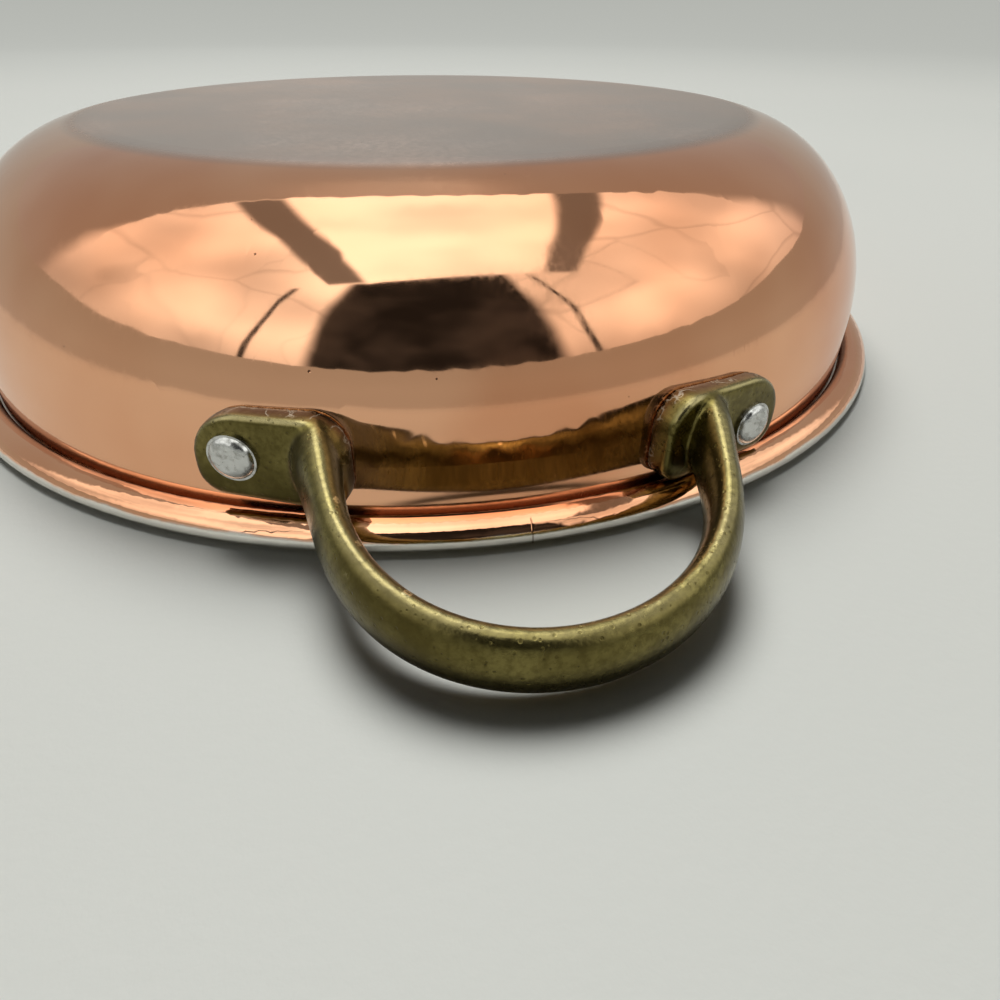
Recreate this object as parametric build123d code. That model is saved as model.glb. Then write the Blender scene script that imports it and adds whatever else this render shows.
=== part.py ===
from build123d import *
from math import asin, cos, degrees, pi, radians, sin
import os

# Round copper gratin dish, stored bottom up on its rim as in the photograph.
# All lengths are in millimetres and all angles in degrees. The rim rests on Z = 0,
# the flat base faces +Z, and the two handles stand out along -Y (front) and +Y (back).

# Copper shell
wall_radius = 121.5          # outer radius of the upright wall
dish_height = 56.0           # rim plane to the outer face of the base
base_flat_radius = 83.0      # flat part of the base
shoulder_height = 42.0       # how far down the wall the rounded shoulder reaches
copper_thickness = 2.0

# Rim bead, measured outwards from the wall and upwards from the rim plane
rim_overhang = 7.3           # how far the bead stands out from the wall
rim_crest_height = 5.4
rim_crest_offset = 2.9       # from the wall to the highest line of the bead
rim_edge_height = 1.6        # height of the widest line of the bead
rim_under_width = 2.4        # width of the rounding below that line
groove_width = 0.3           # floor of the narrow groove between wall and bead
groove_height = 2.4          # level of that floor
mouth_round = 1.6            # rounding where the wall meets the rim face

# Tin lining
lining_thickness = 0.25
lining_end_angle = 52.0      # how far round the mouth's rounding the tin reaches
lining_fade_angle = 10.0     # the last stretch, where it thins out to nothing

# Cast handles, each with two ears on the wall and one loop
handle_mid_height = 15.1     # middle of the ears above the rim plane
seat_depth = 7.0             # castings are drawn this far into the wall, then cut to its shape
ear_thickness = 3.2          # at the rivet
ear_foot_height = 17.5       # where the leg stands on the ear
ear_end_height = 15.9
ear_end_length = 7.9         # from the rivet's axis to the rounded end of the ear
ear_foot_half_gap = 26.9     # from the middle of the handle to the inner end of each ear
end_top_radius = 9.5
end_bottom_radius = 5.0
foot_top_radius = 7.0
foot_bottom_radius = 4.5
ear_edge_radius = 1.2
leg_spread = 34.1            # half the distance between the legs, at their middles
loop_reach = 39.0            # wall to the middle of the loop's bar
loop_squareness = 2.73       # 2 is an ellipse, more is squarer
loop_drop = 8.4              # how much lower the front of the loop lies than the ears
bar_height = 11.2            # at the front of the loop
bar_width = 6.2
leg_root_height = 16.9       # where the leg meets the ear
leg_root_width = 9.1
leg_root_shift = 1.5         # the root leans towards the ear by this much
leg_taper_length = 11.0      # the root has thinned to the bar's width here
even_taper_share = 0.45      # share of the extra height that is lost evenly along the loop
loop_sections = 17

# Hand fitting of the front handle, seen from the front; the back one sits true
front_tilt = 1.4             # the left end sits higher
front_shift = 0.9            # the legs stand this far to the right of the middle
front_lean = -2.2            # and the front of the loop this far back to the left
front_foot_shift = -1.5      # the ears' inner ends lie this far to the left
front_left_rise = 0.5        # left rivet above the middle of its ear
front_right_rise = -1.35     # right rivet above the middle of its ear

# Rivets
rivet_spacing = 93.4         # straight across between a handle's rivets, where they leave the wall
rivet_head_diameter = 8.9
rivet_head_height = 2.1
rivet_rim_height = 0.6       # straight edge of the head below its dome
rivet_flat_diameter = 3.4    # flattened crown of each head
dome_fullness = 0.74         # how far the dome's shoulder swells; 0.71 is a quarter circle
shank_diameter = 5.0
shank_clearance = 0.02       # the hammered shank all but fills its hole
inner_head_diameter = 10.0
inner_head_height = 1.6
inner_edge_share = 0.4       # straight edge of the inner head, as a share of its height

shoulder_centre_height = dish_height - shoulder_height
shoulder_reach = wall_radius - base_flat_radius
lined_thickness = copper_thickness + lining_thickness
crest_radius = wall_radius + rim_crest_offset
rim_face_outer = wall_radius + rim_overhang - rim_under_width
mouth_centre = (wall_radius - copper_thickness + mouth_round, mouth_round)
rivet_angle = degrees(asin(rivet_spacing / 2 / wall_radius))


def bowl_lines(depth, foot):
    """Line of the bowl at a depth below its outer skin, from the axis down to a foot height."""
    top = dish_height - depth
    rim = wall_radius - depth
    flat = Line((0, top), (base_flat_radius, top))
    shoulder = EllipticalCenterArc(
        (base_flat_radius, shoulder_centre_height),
        shoulder_reach - depth,
        shoulder_height - depth,
        start_angle=0,
        arc_size=90,
    )
    wall = Line((rim, shoulder_centre_height), (rim, foot))
    return [flat, shoulder, wall]


def bead_lines():
    """Line of the bead from the groove's floor over the crest and round its lower edge."""
    floor = Line((wall_radius, groove_height), (wall_radius + groove_width, groove_height))
    flank = EllipticalCenterArc(
        (crest_radius, groove_height),
        rim_crest_offset - groove_width,
        rim_crest_height - groove_height,
        start_angle=90,
        arc_size=90,
    )
    over = EllipticalCenterArc(
        (crest_radius, rim_edge_height),
        rim_overhang - rim_crest_offset,
        rim_crest_height - rim_edge_height,
        start_angle=0,
        arc_size=90,
    )
    under = EllipticalCenterArc(
        (rim_face_outer, rim_edge_height),
        rim_under_width,
        rim_edge_height,
        start_angle=-90,
        arc_size=90,
    )
    return [floor, flank, over, under]


def mouth_point(radius, angle):
    """Point on the mouth's rounding; angle 0 is where it leaves the upright wall."""
    turn = radians(180 + angle)
    return (mouth_centre[0] + radius * cos(turn), mouth_centre[1] + radius * sin(turn))


def revolved(lines):
    """Turns a closed line in the XZ plane about the dish's axis."""
    return revolve(Plane.XZ * make_face(lines), Axis.Z)


def full_body():
    """The dish filled to its rim plane: what the handles are cut to."""
    lines = bowl_lines(0, groove_height) + bead_lines()
    lines += [Line((rim_face_outer, 0), (0, 0)), Line((0, 0), (0, dish_height))]
    return revolved(lines)


def cavity():
    """The hollow inside the lining."""
    rim = wall_radius - lined_thickness
    lines = bowl_lines(lined_thickness, 0)
    lines += [Line((rim, 0), (0, 0)), Line((0, 0), (0, dish_height - lined_thickness))]
    return revolved(lines)


def copper_shell():
    """Spun copper bowl with its solid rim bead."""
    lines = bowl_lines(0, groove_height) + bead_lines()
    lines += [Line((rim_face_outer, 0), (mouth_centre[0], 0)), CenterArc(mouth_centre, mouth_round, 180, 90)]
    lines += bowl_lines(copper_thickness, mouth_centre[1])
    lines += [Line((0, dish_height - copper_thickness), (0, dish_height))]
    return revolved(lines)


def tin_lining():
    """Tin wiped over the inside, thinned out to nothing on the mouth's rounding."""
    skin_radius = mouth_round + lining_thickness
    fade_angle = lining_end_angle - lining_fade_angle
    lines = bowl_lines(copper_thickness, mouth_centre[1])
    lines += [CenterArc(mouth_centre, mouth_round, 180, lining_end_angle)]
    lines += [Line(mouth_point(mouth_round, lining_end_angle), mouth_point(skin_radius, fade_angle))]
    lines += [CenterArc(mouth_centre, skin_radius, 180, fade_angle)]
    lines += bowl_lines(lined_thickness, mouth_centre[1])
    lines += [Line((0, dish_height - lined_thickness), (0, dish_height - copper_thickness))]
    return revolved(lines)


def rivet_plane(rise=0.0):
    """Plane on the outer face of the right ear at its rivet, X towards the ear's end, Y up."""
    angle = radians(rivet_angle)
    out = Vector(sin(angle), -cos(angle), 0)
    origin = out * (wall_radius + ear_thickness) + Vector(0, 0, handle_mid_height + rise)
    return Plane(origin=origin, x_dir=(cos(angle), sin(angle), 0), z_dir=out)


def ear(foot_gap):
    """Right-hand pad of the casting: its round end past the rivet, its foot by the leg."""
    plane = rivet_plane()
    foot_angle = foot_gap / wall_radius
    foot_place = Vector(wall_radius * sin(foot_angle), -wall_radius * cos(foot_angle), 0)
    foot = plane.to_local_coords(foot_place).X
    end = ear_end_length
    end_half = ear_end_height / 2
    foot_half = ear_foot_height / 2
    corners = [
        ((end, -end_half), end_bottom_radius),
        ((end, end_half), end_top_radius),
        ((foot, foot_half), foot_top_radius),
        ((foot, -foot_half), foot_bottom_radius),
    ]
    face = make_face(Polyline(*[corner for corner, radius in corners], close=True))
    for corner, radius in corners:
        nearest = face.vertices().sort_by_distance((*corner, 0))[0]
        face = fillet(nearest, radius)
    pad = extrude(plane * face, -(ear_thickness + seat_depth))
    outer_face = pad.faces().sort_by(Axis(plane.origin, plane.z_dir))[-1]
    return fillet(outer_face.edges(), ear_edge_radius)


def loop_point(theta, shift, lean):
    """Middle of the bar; theta runs from one leg, round the front, to the other leg."""
    share = sin(theta) ** (2 / loop_squareness)
    out = (loop_reach + seat_depth) * share - seat_depth
    free = max(out, 0.0)
    thick = (1 - min(free / leg_taper_length, 1.0)) ** 2
    across = -(leg_spread + leg_root_shift * thick) * cos(theta) + shift + lean * free / loop_reach
    height = handle_mid_height - loop_drop * free / loop_reach
    return Vector(across, -(wall_radius + out), height), free


def bar_size(free):
    """Height and width of the bar at a distance from the wall."""
    thick = (1 - min(free / leg_taper_length, 1.0)) ** 2
    even = 1 - free / loop_reach
    share = even_taper_share * even + (1 - even_taper_share) * thick
    tall = bar_height + (leg_root_height - bar_height) * share
    wide = bar_width + (leg_root_width - bar_width) * thick
    return tall, wide


def loop(shift, lean):
    """Bar of the handle: oval sections along the loop, thicker where they leave the ears."""
    sections = []
    nudge = 0.001
    for i in range(loop_sections):
        theta = nudge + (pi - 2 * nudge) * i / (loop_sections - 1)
        middle, free = loop_point(theta, shift, lean)
        ahead = loop_point(theta + nudge / 2, shift, lean)[0]
        behind = loop_point(theta - nudge / 2, shift, lean)[0]
        along = (ahead - behind).normalized()
        upright = (Vector(0, 0, 1) - along * along.Z).normalized()
        tall, wide = bar_size(free)
        sections.append(Plane(origin=middle, x_dir=upright, z_dir=along) * Ellipse(tall / 2, wide / 2))
    return loft(sections)


def domed(base, radius, edge, crown):
    """Head from a base plane to its crown: straight edge, rounded shoulder, flat middle."""
    flat = rivet_flat_diameter / 2
    shoulder_radius = flat + (radius - flat) * dome_fullness
    shoulder_level = edge + (crown - edge) * dome_fullness
    lines = [
        Line((0, base), (radius, base)),
        Line((radius, base), (radius, edge)),
        ThreePointArc((radius, edge), (shoulder_radius, shoulder_level), (flat, crown)),
        Line((flat, crown), (0, crown)),
        Line((0, crown), (0, base)),
    ]
    return revolve(Plane.XZ * make_face(lines), Axis.Z)


def shank(diameter, rise):
    """Cylinder through ear, copper and tin on the right rivet's axis."""
    length = ear_thickness + lined_thickness + inner_head_height / 2
    return rivet_plane(rise) * Pos(0, 0, -length) * extrude(Circle(diameter / 2), length)


def rivet_stem(rise):
    """Outer head and shank of the right rivet, in one."""
    head = domed(0, rivet_head_diameter / 2, rivet_rim_height, rivet_head_height)
    return rivet_plane(rise) * head + shank(shank_diameter, rise)


def inner_head(rise):
    """Raw inner head of the right rivet, later trimmed to lie against the lining."""
    seat = -ear_thickness - lined_thickness
    edge = seat - inner_head_height * inner_edge_share
    return rivet_plane(rise) * domed(0, inner_head_diameter / 2, edge, seat - inner_head_height)


def on_side(side, shape):
    """Brings a right-hand piece to its side of the handle."""
    return shape if side == "right" else mirror(shape, about=Plane.YZ)


def tilted(shape, tilt):
    """Turns a handle's piece about the dish's Y axis at the height of the ears, left end up."""
    return Pos(0, 0, handle_mid_height) * Rot(0, tilt, 0) * Pos(0, 0, -handle_mid_height) * shape


def main():
    os.makedirs("parts", exist_ok=True)
    body = full_body()
    hollow = cavity()
    shell = copper_shell()
    lining = tin_lining()
    hole_diameter = shank_diameter + 2 * shank_clearance
    pieces = {}
    front = (0, front_tilt, front_shift, front_lean, front_foot_shift, front_left_rise, front_right_rise)
    back = (180, 0, 0, 0, 0, 0, 0)
    for name, fitting in {"front": front, "back": back}.items():
        turn, tilt, shift, lean, foot_shift, left_rise, right_rise = fitting
        place = Rot(0, 0, turn)
        feet = {"left": ear_foot_half_gap - foot_shift, "right": ear_foot_half_gap + foot_shift}
        casting = loop(shift, lean)
        for side, foot_gap in feet.items():
            casting += on_side(side, ear(foot_gap))
        casting = tilted(casting, tilt) - body
        for side, rise in {"left": left_rise, "right": right_rise}.items():
            hole = tilted(on_side(side, shank(hole_diameter, rise)), tilt)
            stem = tilted(on_side(side, rivet_stem(rise)), tilt)
            closing_head = tilted(on_side(side, inner_head(rise)), tilt) & hollow
            pieces["rivet_" + name + "_" + side] = place * (stem + closing_head)
            casting -= hole
            shell -= place * hole
            lining -= place * hole
        pieces["handle_" + name] = place * casting
    pieces["copper_body"] = shell
    pieces["tin_lining"] = lining
    for name, shape in pieces.items():
        export_step(shape, "parts/" + name + ".step")


main()
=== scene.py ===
import math
import bmesh
import bpy
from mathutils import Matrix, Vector


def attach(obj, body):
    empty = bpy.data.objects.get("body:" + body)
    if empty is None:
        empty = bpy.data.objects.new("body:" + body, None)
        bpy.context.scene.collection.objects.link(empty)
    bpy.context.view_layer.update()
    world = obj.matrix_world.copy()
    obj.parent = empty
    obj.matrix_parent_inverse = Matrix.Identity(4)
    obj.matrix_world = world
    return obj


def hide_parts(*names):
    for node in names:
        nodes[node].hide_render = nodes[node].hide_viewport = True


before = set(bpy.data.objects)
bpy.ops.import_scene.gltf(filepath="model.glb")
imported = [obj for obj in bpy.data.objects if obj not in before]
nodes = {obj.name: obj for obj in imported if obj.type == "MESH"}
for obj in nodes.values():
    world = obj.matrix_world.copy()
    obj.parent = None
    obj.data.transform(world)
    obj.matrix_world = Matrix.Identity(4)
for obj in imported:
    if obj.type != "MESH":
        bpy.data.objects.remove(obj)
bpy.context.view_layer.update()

# Copper body. One sheet of copper is spun into a shallow bowl and its edge is upset into a
# solid bead. The wall and shoulder are polished to a mirror, the flat base is hazy from use,
# and tin from the lining has crept over the lower edge of the bead.
wall_radius = 0.1215
base_height = 0.056
groove_floor_height = 0.0025
groove_top_height = 0.0056
foot_top_height = 0.0072
tin_creep_height = 0.0030
tin_creep_waver = 0.0016
lean_top = 0.0253
lean_rate = 15.2              # slope gained for each metre below lean_top
lean_most = 0.225
scratch_turn = 0.54           # from the front to the right, in degrees
scratch_waver = 0.12
scratch_width = 0.00022
copper_colour = (0.86, 0.46, 0.27, 1)
copper_deep_colour = (0.70, 0.30, 0.15, 1)
copper_haze_colour = (0.33, 0.27, 0.24, 1)
# dark grime for pits and the scratch, also used as painted shade in the groove
copper_grime_and_shade_colour = (0.10, 0.035, 0.015, 1)
# colour that copper is painted towards where it is seen in other copper
copper_painted_reflection_colour = (0.90, 0.66, 0.52, 1)
copper_foot_colour = (0.50, 0.21, 0.09, 1)
tin_colour = (0.80, 0.77, 0.71, 1)


def put(tree, kind, inputs=(), **settings):
    """Adds a shader node. Each input is given a value, or the output that feeds it."""
    made = tree.nodes.new(kind)
    for key, value in settings.items():
        setattr(made, key, value)
    for key, value in dict(inputs).items():
        socket = made.inputs[key]
        if isinstance(value, bpy.types.NodeSocket):
            tree.links.new(value, socket)
        else:
            socket.default_value = value
    return made


def calc(tree, operation, *values, clamp=False):
    """Result of a Math node on one to three values."""
    made = put(tree, "ShaderNodeMath", enumerate(values), operation=operation, use_clamp=clamp)
    return made.outputs[0]


def product(tree, value, *others):
    """All the values multiplied."""
    for other in others:
        value = calc(tree, "MULTIPLY", value, other)
    return value


def total(tree, value, *parts):
    """A first value plus parts, each given as a value and its share."""
    for part, share in parts:
        value = calc(tree, "MULTIPLY_ADD", part, share, value)
    return value


def blend(tree, share, first, second):
    """Colour between two others; share 0 gives the first."""
    mixer = put(tree, "ShaderNodeMix", {0: share, 6: first, 7: second}, data_type="RGBA")
    return mixer.outputs[2]


def layered(tree, tone, *layers):
    """A colour with others laid over it, each given as a mask, the mask's share and a colour."""
    for mask, share, colour in layers:
        tone = blend(tree, calc(tree, "MULTIPLY", mask, share), tone, colour)
    return tone


def ramp(tree, value, low, high, at_low=0.0, at_high=1.0):
    """Turns low..high into at_low..at_high with soft ends, held level outside."""
    sockets = {"Value": value, "From Min": low, "From Max": high,
               "To Min": at_low, "To Max": at_high}
    return put(tree, "ShaderNodeMapRange", sockets, interpolation_type="SMOOTHSTEP").outputs[0]


def fade(tree, value, low, high):
    """Mask that falls from 1 at low to 0 at high."""
    return ramp(tree, value, low, high, 1.0, 0.0)


def noise(tree, place, scale, detail=4.0, roughness=0.55, distortion=0.0):
    """Noise value about 0.5 at a place."""
    sockets = {"Vector": place, "Scale": scale, "Detail": detail,
               "Roughness": roughness, "Distortion": distortion}
    return put(tree, "ShaderNodeTexNoise", sockets).outputs[0]


def stretched(tree, place, scale):
    """The place with each axis scaled by its own share."""
    return put(tree, "ShaderNodeMapping", {"Vector": place, "Scale": scale}).outputs[0]


def scaled(tree, vector, factor):
    """The vector times one number."""
    sockets = {0: vector, "Scale": factor}
    return put(tree, "ShaderNodeVectorMath", sockets, operation="SCALE").outputs[0]


def vector_sum(tree, first, second):
    """Two vectors added."""
    return put(tree, "ShaderNodeVectorMath", {0: first, 1: second}, operation="ADD").outputs[0]


def split(tree, vector):
    """The x, y and z of a vector."""
    return put(tree, "ShaderNodeSeparateXYZ", {0: vector}).outputs


def reach_of(tree, place):
    """Distance of a place from the upright axis through the middle of the dish."""
    x, y, _ = split(tree, place)
    squares = calc(tree, "ADD", calc(tree, "POWER", x, 2.0), calc(tree, "POWER", y, 2.0))
    return calc(tree, "SQRT", squares)


def turn_of(tree, x, y):
    """Turn from the front towards the right, in degrees."""
    radians = calc(tree, "ARCTAN2", x, calc(tree, "MULTIPLY", y, -1.0))
    return calc(tree, "MULTIPLY", radians, 180 / math.pi)


def new_group(name, inputs, outputs):
    """Node group with named sockets, with its input node's outputs and its output node's inputs."""
    group = bpy.data.node_groups.new(name, "ShaderNodeTree")
    for socket, kind, value in inputs:
        made = group.interface.new_socket(name=socket, in_out="INPUT", socket_type=kind)
        if value is not None:
            made.default_value = value
    for socket, kind in outputs:
        group.interface.new_socket(name=socket, in_out="OUTPUT", socket_type=kind)
    entry = group.nodes.new("NodeGroupInput")
    leave = group.nodes.new("NodeGroupOutput")
    return group, entry.outputs, leave.inputs


def use(tree, group, **inputs):
    """Places a node group in a material and returns its outputs."""
    return put(tree, "ShaderNodeGroup", inputs, node_tree=group).outputs


def new_material(name, **plain):
    """Empty material with a Principled shader; plain sets its uniform sockets."""
    material = bpy.data.materials.new(name)
    material.use_nodes = True
    tree = material.node_tree
    tree.nodes.clear()
    uniform = {key.replace("_", " "): value for key, value in plain.items()}
    shader = put(tree, "ShaderNodeBsdfPrincipled", uniform)
    put(tree, "ShaderNodeOutputMaterial", {"Surface": shader.outputs[0]})
    place = put(tree, "ShaderNodeTexCoord").outputs["Object"]
    return material, tree, shader, place


def feed(tree, shader, **sockets):
    """Links outputs to the shader's sockets."""
    for key, value in sockets.items():
        tree.links.new(value, shader.inputs[key.replace("_", " ")])


def bumped(tree, height, distance, strength=1.0, normal=None):
    """Normal bent by a height; distance is what a height of 1 stands for, in metres."""
    sockets = {"Height": height, "Distance": distance, "Strength": strength}
    if normal is not None:
        sockets["Normal"] = normal
    return put(tree, "ShaderNodeBump", sockets).outputs[0]


def dress(node, material):
    """Gives a carried-over CAD node its finish."""
    nodes[node].data.materials.clear()
    nodes[node].data.materials.append(material)


# wipe marks: long faint strokes left by a cloth, with a few sharper hairline scratches
wipe_group, given, out = new_group(
    "wipe_marks",
    [("Place", "NodeSocketVector", None)],
    [("Smears", "NodeSocketFloat"), ("Hairlines", "NodeSocketFloat")],
)
tree, place = wipe_group, given["Place"]
broad = noise(tree, stretched(tree, place, (18, 18, 40)), 1.0, detail=3)
strokes = noise(tree, stretched(tree, place, (900, 900, 25)), 1.0, detail=2)
smears = product(tree, ramp(tree, broad, 0.42, 0.68), ramp(tree, strokes, 0.3, 0.75))
tree.links.new(smears, out["Smears"])
cracks = {"Vector": stretched(tree, place, (160, 160, 9)), "Scale": 1.0}
border = put(tree, "ShaderNodeTexVoronoi", cracks, feature="DISTANCE_TO_EDGE").outputs[0]
rare = ramp(tree, noise(tree, place, 60, detail=2), 0.58, 0.66)
tree.links.new(product(tree, fade(tree, border, 0.0, 0.012), rare), out["Hairlines"])

# pits: tiny round specks, most of the cells being left empty
pit_group, given, out = new_group(
    "pits",
    [("Place", "NodeSocketVector", None), ("Cells", "NodeSocketFloat", 300.0),
     ("Share", "NodeSocketFloat", 0.1), ("Size", "NodeSocketFloat", 0.2)],
    [("Pits", "NodeSocketFloat")],
)
tree = pit_group
cells = {"Vector": given["Place"], "Scale": given["Cells"]}
cell = put(tree, "ShaderNodeTexVoronoi", cells, feature="F1").outputs
chance = put(tree, "ShaderNodeSeparateColor", {0: cell["Color"]}).outputs
kept = calc(tree, "LESS_THAN", chance[0], given["Share"])
radius = calc(tree, "MULTIPLY", given["Size"], calc(tree, "ADD", 0.35, chance[1]))
from_middle = calc(tree, "DIVIDE", cell["Distance"], radius)
near = calc(tree, "SUBTRACT", 1.0, from_middle, clamp=True)
tree.links.new(product(tree, kept, ramp(tree, near, 0.0, 0.5)), out["Pits"])

copper, tree, shader, place = new_material("polished_copper", Metallic=1.0)
x, y, height = split(tree, place)
beyond = calc(tree, "SUBTRACT", reach_of(tree, place), wall_radius)
wipes = use(tree, wipe_group, Place=place)
pits = use(tree, pit_group, Place=place, Cells=300.0, Share=0.09, Size=0.075)["Pits"]
cloud = noise(tree, place, 14, detail=3)
mottle = noise(tree, place, 90, detail=4)

# masks: the flat base, the wall's outer face, the groove and bead flank with painted shade, and the
# wall's redder foot
on_base = ramp(tree, height, base_height - 0.0009, base_height - 0.0001)
near_base = ramp(tree, height, base_height - 0.010, base_height)
outside_wall = ramp(tree, beyond, -0.0004, 0.0006)
from_wall_out = ramp(tree, beyond, -0.0008, -0.0002)
on_flank = product(tree, ramp(tree, beyond, 0.0002, 0.0004), fade(tree, beyond, 0.0012, 0.0020))
below_wall = product(
    tree,
    fade(tree, height, groove_floor_height, groove_floor_height + 0.0006),
    fade(tree, beyond, 0.0008, 0.0016),
)
# painted shade: the groove between wall and bead and the bead's inner flank are darkened as if in
# shadow
groove_shade = product(
    tree,
    calc(tree, "MAXIMUM", on_flank, below_wall),
    fade(tree, height, groove_top_height - 0.0006, groove_top_height),
)
foot = product(
    tree,
    fade(tree, height, foot_top_height - 0.0027, foot_top_height),
    fade(tree, beyond, 0.0014, 0.0027),
    from_wall_out,
)

# one short upright scratch across the bead
waver = calc(tree, "SUBTRACT", noise(tree, place, 500, detail=1), 0.5)
turn = total(tree, turn_of(tree, x, y), (waver, scratch_waver))
aside = calc(tree, "ABSOLUTE", calc(tree, "SUBTRACT", turn, scratch_turn))
aside = calc(tree, "MULTIPLY", aside, wall_radius * math.pi / 180)
scratch = product(
    tree,
    fade(tree, aside, 0.3 * scratch_width, scratch_width),
    ramp(tree, beyond, 0.0045, 0.0055),
)

# tin that crept over the bead's lower edge
waver = calc(tree, "SUBTRACT", mottle, 0.5)
creep_edge = total(tree, tin_creep_height, (waver, tin_creep_waver))
above_edge = calc(tree, "SUBTRACT", height, creep_edge)
tinned = product(tree, outside_wall, fade(tree, above_edge, -0.0003, 0.0004))

# painted reflection: copper seen in other copper is painted paler than a second bounce off a
# saturated colour would be
second = put(tree, "ShaderNodeLightPath").outputs["Is Glossy Ray"]
haze = product(tree, on_base, ramp(tree, noise(tree, place, 30, detail=5), 0.2, 0.7, 0.86, 1.0))
tone = blend(tree, ramp(tree, cloud, 0.35, 0.75), copper_colour, copper_deep_colour)
tone = layered(
    tree, tone,
    (near_base, 0.05, copper_haze_colour),
    (haze, 1.0, copper_haze_colour),
    (second, 0.75, copper_painted_reflection_colour),
    (pits, 0.85, copper_grime_and_shade_colour),
    (foot, 0.35, copper_foot_colour),
    # painted shade in the groove and on the bead's inner flank
    (groove_shade, 0.9, copper_grime_and_shade_colour),
    (tinned, 1.0, tin_colour),
    (scratch, 0.6, copper_grime_and_shade_colour),
)
dull = total(
    tree, 0.045,
    (wipes["Smears"], 0.07), (on_base, 0.25), (tinned, 0.16), (wipes["Hairlines"], 0.06),
    (foot, 0.16),
)
wave = noise(tree, place, 22, detail=1, roughness=0.3)
skin = total(
    tree, wave,
    (mottle, 0.006), (pits, -0.2), (wipes["Hairlines"], -0.006), (scratch, -0.2),
)

# The wall's surface is upright. Below lean_top only its shading normal is bent, as if the wall
# flared towards the bead, which lowers and stretches the mirrored handle.
fall = calc(tree, "MAXIMUM", calc(tree, "SUBTRACT", lean_top, height), 0.0)
fall = calc(tree, "MINIMUM", calc(tree, "MULTIPLY", fall, lean_rate), lean_most)
fall = product(tree, fall, from_wall_out, fade(tree, beyond, 0.0001, 0.0003))
upright = put(tree, "ShaderNodeNewGeometry").outputs["Normal"]
bent = vector_sum(tree, upright, scaled(tree, (0, 0, 1), fall))
bent = put(tree, "ShaderNodeVectorMath", {0: bent}, operation="NORMALIZE").outputs[0]
feed(tree, shader, Base_Color=tone, Roughness=dull,
     Normal=bumped(tree, skin, 0.00012, normal=bent))
dress("copper_body", copper)

# Tin lining. A coat of tin wiped over the hot copper by hand with a wad of tow, which leaves
# it satin grey with soft swirls.
tin_dark_colour = (0.50, 0.49, 0.47, 1)

tin, tree, shader, place = new_material("wiped_tin", Metallic=1.0)
swirl = noise(tree, place, 35, detail=4, distortion=1.2)
streak = noise(tree, stretched(tree, place, (60, 60, 600)), 1.0, detail=3)
tone = blend(tree, ramp(tree, swirl, 0.3, 0.7), tin_colour, tin_dark_colour)
dull = total(tree, 0.16, (swirl, 0.25))
skin = total(tree, 0.0, (swirl, 0.6), (streak, 0.15))
feed(tree, shader, Base_Color=tone, Roughness=dull, Normal=bumped(tree, skin, 0.0003))
dress("tin_lining", tin)

# Handles. Each is one brass casting, two ears and a loop, that was filed, tumbled and riveted
# on. Years of hands left it olive brown, with the metal worn bright along its edges; where these
# face upwards the brightness is also a painted highlight.
remesh_size = 0.00045
smoothing_share = 0.5
smoothing_turns = 9
brass_colour = (0.225, 0.188, 0.062, 1)
brass_dark_colour = (0.075, 0.058, 0.016, 1)
# bright brass of worn edges, also a painted highlight on their upward faces
brass_worn_and_highlight_colour = (0.78, 0.68, 0.38, 1)
brass_hole_colour = (0.02, 0.015, 0.008, 1)
brass_near_wall_colour = (0.085, 0.028, 0.018, 1)
crust_colour = (0.60, 0.56, 0.48, 1)

brass, tree, shader, place = new_material("aged_brass", Metallic=1.0)
beyond = calc(tree, "SUBTRACT", reach_of(tree, place), wall_radius)
patches = noise(tree, place, 55, detail=5, roughness=0.6)
grain = noise(tree, place, 900, detail=3, roughness=0.6)
specks = use(tree, pit_group, Place=place, Cells=1100.0, Share=0.35, Size=0.32)["Pits"]
holes = use(tree, pit_group, Place=place, Cells=150.0, Share=0.05, Size=0.10)["Pits"]
surface = put(tree, "ShaderNodeNewGeometry").outputs
upward = split(tree, surface["Normal"])[2]
# sharp edges worn bright, lighter still where they face upwards: wear and a painted highlight
worn_and_highlit = product(
    tree,
    ramp(tree, surface["Pointiness"], 0.503, 0.55),
    ramp(tree, patches, 0.2, 0.55),
    ramp(tree, upward, 0.3, 0.75),
)
# the brass turns darker and redder towards the wall
near_wall_darkening = fade(tree, beyond, 0.0004, 0.0030)
from_seam = calc(tree, "SUBTRACT", noise(tree, place, 260, detail=3), 0.5)
seam = fade(tree, calc(tree, "ABSOLUTE", from_seam), 0.0, 0.03)
crust = product(tree, seam, fade(tree, beyond, 0.0008, 0.0024))
tone = blend(tree, ramp(tree, patches, 0.3, 0.72), brass_colour, brass_dark_colour)
tone = layered(
    tree, tone,
    (ramp(tree, grain, 0.35, 0.7), 0.6, brass_dark_colour),
    (worn_and_highlit, 0.75, brass_worn_and_highlight_colour),
    (specks, 0.55, brass_dark_colour),
    (holes, 0.9, brass_hole_colour),
    (near_wall_darkening, 0.65, brass_near_wall_colour),
    (crust, 0.5, crust_colour),
)
dull = ramp(tree, patches, 0.2, 0.8, 0.23, 0.33)
dull = total(tree, dull, (specks, 0.12), (crust, 0.35), (worn_and_highlit, -0.08))
skin = total(tree, 0.0, (patches, 0.8), (grain, 0.16), (specks, -0.15), (holes, -1.2))
feed(tree, shader, Base_Color=tone, Roughness=dull, Normal=bumped(tree, skin, 0.0003))


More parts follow.
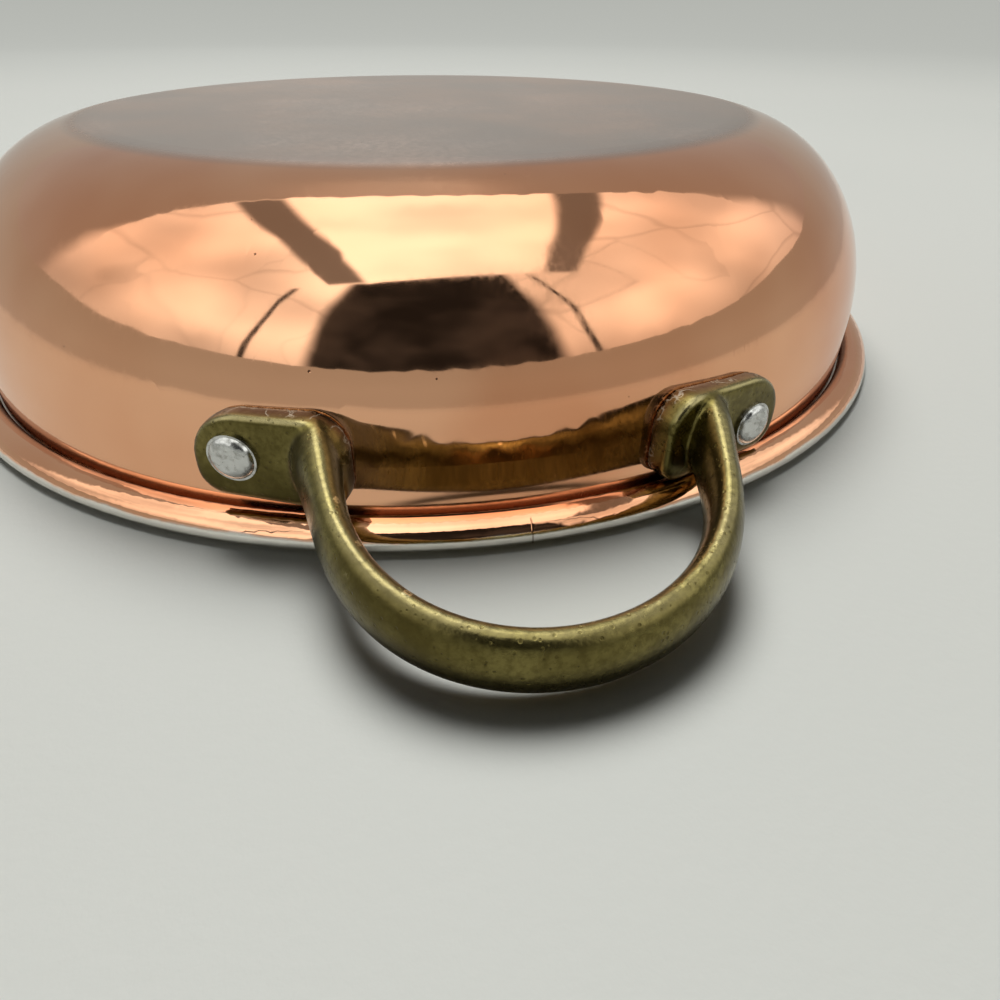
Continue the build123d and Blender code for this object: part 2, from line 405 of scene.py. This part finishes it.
def cast_piece(node, name):
    """Copy of a CAD casting with filled inner corners and soft edges, as sand casting gives."""
    piece = bpy.data.objects.new(name, nodes[node].data.copy())
    bpy.context.scene.collection.objects.link(piece)
    soften = piece.modifiers.new("voxels", "REMESH")
    soften.mode = "VOXEL"
    soften.voxel_size = remesh_size
    relax = piece.modifiers.new("relax", "SMOOTH")
    relax.factor = smoothing_share
    relax.iterations = smoothing_turns
    shown = piece.evaluated_get(bpy.context.evaluated_depsgraph_get())
    mesh = bpy.data.meshes.new_from_object(shown)
    piece.modifiers.clear()
    piece.data = mesh
    mesh.shade_smooth()
    mesh.materials.clear()
    mesh.materials.append(brass)
    return piece


for side in ("front", "back"):
    casting = cast_piece("handle_" + side, "cast_handle_" + side)
    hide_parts("handle_" + side)
    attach(casting, "root")

# Rivets. Drawn metal pins with domed heads, put in from outside and hammered over inside, so
# that their crowns are slightly flattened and their rims stand on the ears as thin rings.
ear_face_radius = wall_radius + 0.0032
flange_height = 0.00055
dome_radius = 0.00400
dome_height = 0.00205
crown_height = 0.00172
crown_tilt = 0.05
same_point = 1e-6
sharp_angle = 50              # in degrees
rivet_colour = (0.60, 0.60, 0.58, 1)
rivet_dark_colour = (0.26, 0.25, 0.22, 1)

rivet_metal, tree, shader, place = new_material("hammered_rivet", Metallic=1.0)
dents = noise(tree, place, 420, detail=2)
smudge = noise(tree, place, 700, detail=4)
tone = blend(tree, ramp(tree, smudge, 0.45, 0.8), rivet_colour, rivet_dark_colour)
dull = ramp(tree, smudge, 0.3, 0.7, 0.18, 0.32)
skin = total(tree, dents, (smudge, 0.12))
feed(tree, shader, Base_Color=tone, Roughness=dull, Normal=bumped(tree, skin, 0.0002))


def beaten_rivet(node, name):
    """Copy of a CAD rivet whose outer dome is beaten down to a crown inside a thin flange."""
    form = bmesh.new()
    form.from_mesh(nodes[node].data)
    bmesh.ops.remove_doubles(form, verts=form.verts, dist=same_point)
    middle = sum((point.co for point in form.verts), Vector()) / len(form.verts)
    out = Vector((middle.x, middle.y, 0)).normalized()
    aside = Vector((0, 0, 1)).cross(out)
    head_start = ear_face_radius + flange_height / 2
    head = [point for point in form.verts if point.co.dot(out) > head_start]
    heights = [point.co.z for point in head]
    widths = [point.co.dot(aside) for point in head]
    level = (min(heights) + max(heights)) / 2
    shift = (min(widths) + max(widths)) / 2
    for point in head:
        x, z = point.co.dot(aside) - shift, point.co.z - level
        share = min(math.hypot(x, z) / dome_radius, 1)
        top = flange_height + (dome_height - flange_height) * math.sqrt(1 - share ** 2)
        top = min(top, crown_height + crown_tilt * (x - z))
        stands = point.co.dot(out) - ear_face_radius
        point.co += out * (min(stands, top) - stands)
    mesh = bpy.data.meshes.new(name)
    form.to_mesh(mesh)
    form.free()
    if "custom_normal" in mesh.attributes:
        mesh.attributes.remove(mesh.attributes["custom_normal"])
    mesh.shade_smooth()
    mesh.set_sharp_from_angle(angle=math.radians(sharp_angle))
    mesh.materials.clear()
    mesh.materials.append(rivet_metal)
    piece = bpy.data.objects.new(name, mesh)
    bpy.context.scene.collection.objects.link(piece)
    return piece


for side in ("front", "back"):
    for end in ("left", "right"):
        rivet = beaten_rivet("rivet_" + side + "_" + end, "beaten_rivet_" + side + "_" + end)
        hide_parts("rivet_" + side + "_" + end)
        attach(rivet, "root")

# Floor. A sheet of pale grey card that rises all round into a low upright wall. Far from the
# dish, the camera and the mirroring metal see it as one even backdrop.
floor_radius = 1.5
floor_steps = 96
flat_margin = 0.05
fade_start = 0.3
sweep_radius = 0.55
sweep_steps = 16
sweep_top = 0.63
backdrop_colour = (0.415, 0.425, 0.395, 1)
floor_colour = (0.76, 0.765, 0.735, 1)
floor_cloud_colour = (0.735, 0.745, 0.715, 1)
floor_fibre_colour = (0.67, 0.68, 0.66, 1)
black = (0, 0, 0, 1)

card, tree, shader, place = new_material(
    "pale_card", Specular_IOR_Level=0.25, Roughness=0.65, Emission_Strength=1.0)
card.cycles.emission_sampling = "NONE"
fibre = noise(tree, place, 500, detail=3)
shade = noise(tree, place, 2.2, detail=2)
far = ramp(tree, reach_of(tree, place), fade_start, floor_radius)
path = put(tree, "ShaderNodeLightPath").outputs
seen = calc(tree, "MAXIMUM", path["Is Camera Ray"], path["Is Glossy Ray"])
glow = blend(tree, product(tree, far, seen), black, backdrop_colour)
tone = blend(tree, ramp(tree, shade, 0.3, 0.7), floor_colour, floor_cloud_colour)
tone = layered(tree, tone, (fibre, 0.12, floor_fibre_colour), (far, 1.0, black))
feed(tree, shader, Base_Color=tone, Emission_Color=glow, Normal=bumped(tree, fibre, 0.00005))

# a ring just inside the bend keeps the shading of the flat middle flat
outline = [(floor_radius - flat_margin, 0.0), (floor_radius, 0.0)]
for i in range(1, sweep_steps + 1):
    turn = math.radians(90 * i / sweep_steps)
    radius = floor_radius + sweep_radius * math.sin(turn)
    outline.append((radius, sweep_radius * (1 - math.cos(turn))))
outline.append((floor_radius + sweep_radius, sweep_top))
form = bmesh.new()
rings = []
for radius, level in outline:
    ring = []
    for k in range(floor_steps):
        turn = 2 * math.pi * k / floor_steps
        ring.append(form.verts.new((radius * math.cos(turn), radius * math.sin(turn), level)))
    rings.append(ring)
form.faces.new(rings[0])
for lower, upper in zip(rings, rings[1:]):
    for k in range(floor_steps):
        after = (k + 1) % floor_steps
        form.faces.new((lower[k], upper[k], upper[after], lower[after]))
floor_mesh = bpy.data.meshes.new("floor")
form.to_mesh(floor_mesh)
form.free()
floor_mesh.shade_smooth()
floor_mesh.materials.append(card)
floor = bpy.data.objects.new("floor", floor_mesh)
bpy.context.scene.collection.objects.link(floor)

# Light. A fabric light tent: a bright strip down the middle of the ceiling between two dark
# seams, creased side walls, a smooth back, and an open front that shows the dim room. The
# metal mirrors it, while one soft lamp over the back and a little fill light the card.
tent_colour = (0.995, 1.0, 0.965, 1)
ceiling_level = 1.8
strip_level = 0.25
side_level = 1.2
back_level = 0.43
binding_level = 0.03
room_level = 0.018
ceiling_back = 0.57           # where the ceiling ends, as a share of its height over the dish
ceiling_front = -0.46
strip_left, strip_right = -0.31, 0.38
strip_width = 0.15
back_edge = 0.485             # northward part of the direction where the back wall starts
back_skew = 0.17
opening_left, opening_right = -52, 33    # turns from the front to the right, in degrees
flap_left, flap_right = -38, 25
binding_width = 1.6
lamp_level = 14.6
lamp_slope = 31               # from the zenith towards the back, in degrees
lamp_core, lamp_reach = 7, 21
fill_level = 0.08
map_size = 512

world = bpy.data.worlds.new("studio")
bpy.context.scene.world = world
world.use_nodes = True
world.cycles.sampling_method = "MANUAL"
world.cycles.sample_map_resolution = map_size
tree = world.node_tree
tree.nodes.clear()
look = put(tree, "ShaderNodeTexCoord").outputs["Generated"]
east, north, rise = split(tree, look)
azimuth = turn_of(tree, east, north)


def between(tree, value, low, high, softness):
    """Mask of the values from low to high with soft ends."""
    rising = ramp(tree, value, low - softness, low + softness)
    return calc(tree, "MULTIPLY", rising, fade(tree, value, high - softness, high + softness))


def over(tree, level, mask, added):
    """Level with another one laid over it where the mask is 1."""
    blender = put(tree, "ShaderNodeMix", {0: mask, 2: level, 3: added}, data_type="FLOAT")
    return blender.outputs[0]


# place on the ceiling, as shares of its height: across, and to the back
up = calc(tree, "MAXIMUM", rise, 0.02)
across = calc(tree, "DIVIDE", east, up)
back = calc(tree, "DIVIDE", north, up)

# creased cloth of the side walls
drape = noise(tree, look, 2.2, detail=1)
drift = put(tree, "ShaderNodeTexNoise", {"Vector": look, "Scale": 1.6}).outputs["Color"]
bent_look = vector_sum(tree, look, scaled(tree, drift, 0.5))
folds = {"Vector": stretched(tree, bent_look, (1.0, 1.0, 0.45)), "Scale": 2.3}
fold_colour = put(tree, "ShaderNodeTexVoronoi", folds).outputs["Color"]
facet = put(tree, "ShaderNodeSeparateColor", {0: fold_colour}).outputs[0]
border = put(tree, "ShaderNodeTexVoronoi", folds, feature="DISTANCE_TO_EDGE").outputs[0]
slope = put(tree, "ShaderNodeTexVoronoi", folds, feature="SMOOTH_F1").outputs["Distance"]
ridge = product(tree, fade(tree, border, 0.0, 0.05), ramp(tree, facet, 0.1, 0.8))
level = product(
    tree, side_level,
    ramp(tree, drape, 0.3, 0.7, 0.75, 1.25),
    ramp(tree, slope, 0.1, 0.75, 1.12, 0.82),
    total(tree, 1.0, (ridge, -0.22)),
    ramp(tree, rise, 0.15, 0.65, 0.55, 1.2),
)

# ceiling: bright middle, with a darker hem on each side of it
in_depth = between(tree, back, ceiling_front, ceiling_back, 0.02)
glow = product(tree, ceiling_level, ramp(tree, drape, 0.3, 0.7, 0.8, 1.15))
middle = between(tree, across, strip_left, strip_right, 0.03)
level = over(tree, level, product(tree, in_depth, middle), glow)
for hem_left in (strip_left - strip_width, strip_right):
    hem = between(tree, across, hem_left, hem_left + strip_width, 0.02)
    level = over(tree, level, product(tree, in_depth, hem), strip_level)

# smooth back wall, behind the ceiling's rear edge
behind = ramp(tree, total(tree, north, (east, back_skew)), back_edge, back_edge + 0.01)
behind = calc(tree, "MAXIMUM", behind, ramp(tree, back, ceiling_back, ceiling_back + 0.01))
behind = product(tree, behind, ramp(tree, north, 0.3, 0.4))
level = over(tree, level, behind, back_level)

# open front: two light flaps, their dark binding, and the dim room between them
low_front = product(
    tree, fade(tree, back, ceiling_front - 0.02, ceiling_front), fade(tree, north, -0.05, 0.0))
binding = calc(
    tree, "MAXIMUM",
    between(tree, azimuth, opening_left - binding_width, opening_left, 0.3),
    between(tree, azimuth, opening_right, opening_right + binding_width, 0.3),
)
level = over(tree, level, product(tree, low_front, binding), binding_level)
gap = product(tree, low_front, between(tree, azimuth, flap_left, flap_right, 2.5))
dim = noise(tree, look, 3.0, detail=2)
room = ramp(tree, dim, 0.35, 0.7, room_level, room_level * 3.5)
level = over(tree, level, gap, room)

# Metal that is seen straight or in other metal mirrors the tent, and the camera sees the plain
# backdrop. All other rays meet the lamp and the fill.
tilt = math.radians(lamp_slope)
to_lamp = {0: look, 1: (0, math.sin(tilt), math.cos(tilt))}
along = put(tree, "ShaderNodeVectorMath", to_lamp, operation="DOT_PRODUCT").outputs["Value"]
off_lamp = calc(tree, "MULTIPLY", calc(tree, "ARCCOSINE", along), 180 / math.pi)
path = put(tree, "ShaderNodeLightPath").outputs
not_mirrored = calc(tree, "SUBTRACT", 1.0, path["Is Glossy Ray"])
lamp = product(tree, lamp_level, fade(tree, off_lamp, lamp_core, lamp_reach), not_mirrored)
lamp = total(tree, lamp, (ramp(tree, north, -0.5, 0.3, 0.12, 1.0), fill_level))
straight = calc(tree, "LESS_THAN", path["Diffuse Depth"], 0.5)
seen = product(tree, path["Is Glossy Ray"], straight)
level = over(tree, over(tree, lamp, seen, level), path["Is Camera Ray"], 1.0)
hue = blend(tree, path["Is Camera Ray"], tent_colour, backdrop_colour)
background = put(tree, "ShaderNodeBackground", {"Color": hue, "Strength": level})
put(tree, "ShaderNodeOutputWorld", {"Surface": background.outputs[0]})

# Camera. It stands low in front of the dish, a little left of the front handle.
camera_place = (-0.02445, -0.22109, 0.07944)
camera_pitch = 54.176
camera_roll = -0.260
camera_turn = -11.796
camera_lens = 25.0
sensor_width = 36
nearest_seen = 0.01

camera_data = bpy.data.cameras.new("camera")
camera_data.sensor_width = sensor_width
camera_data.lens = camera_lens
camera_data.clip_start = nearest_seen
camera = bpy.data.objects.new("camera", camera_data)
camera.location = camera_place
camera.rotation_euler = [math.radians(angle) for angle in (camera_pitch, camera_roll, camera_turn)]
bpy.context.scene.collection.objects.link(camera)
bpy.context.scene.camera = camera
bpy.context.scene.view_settings.view_transform = "Standard"
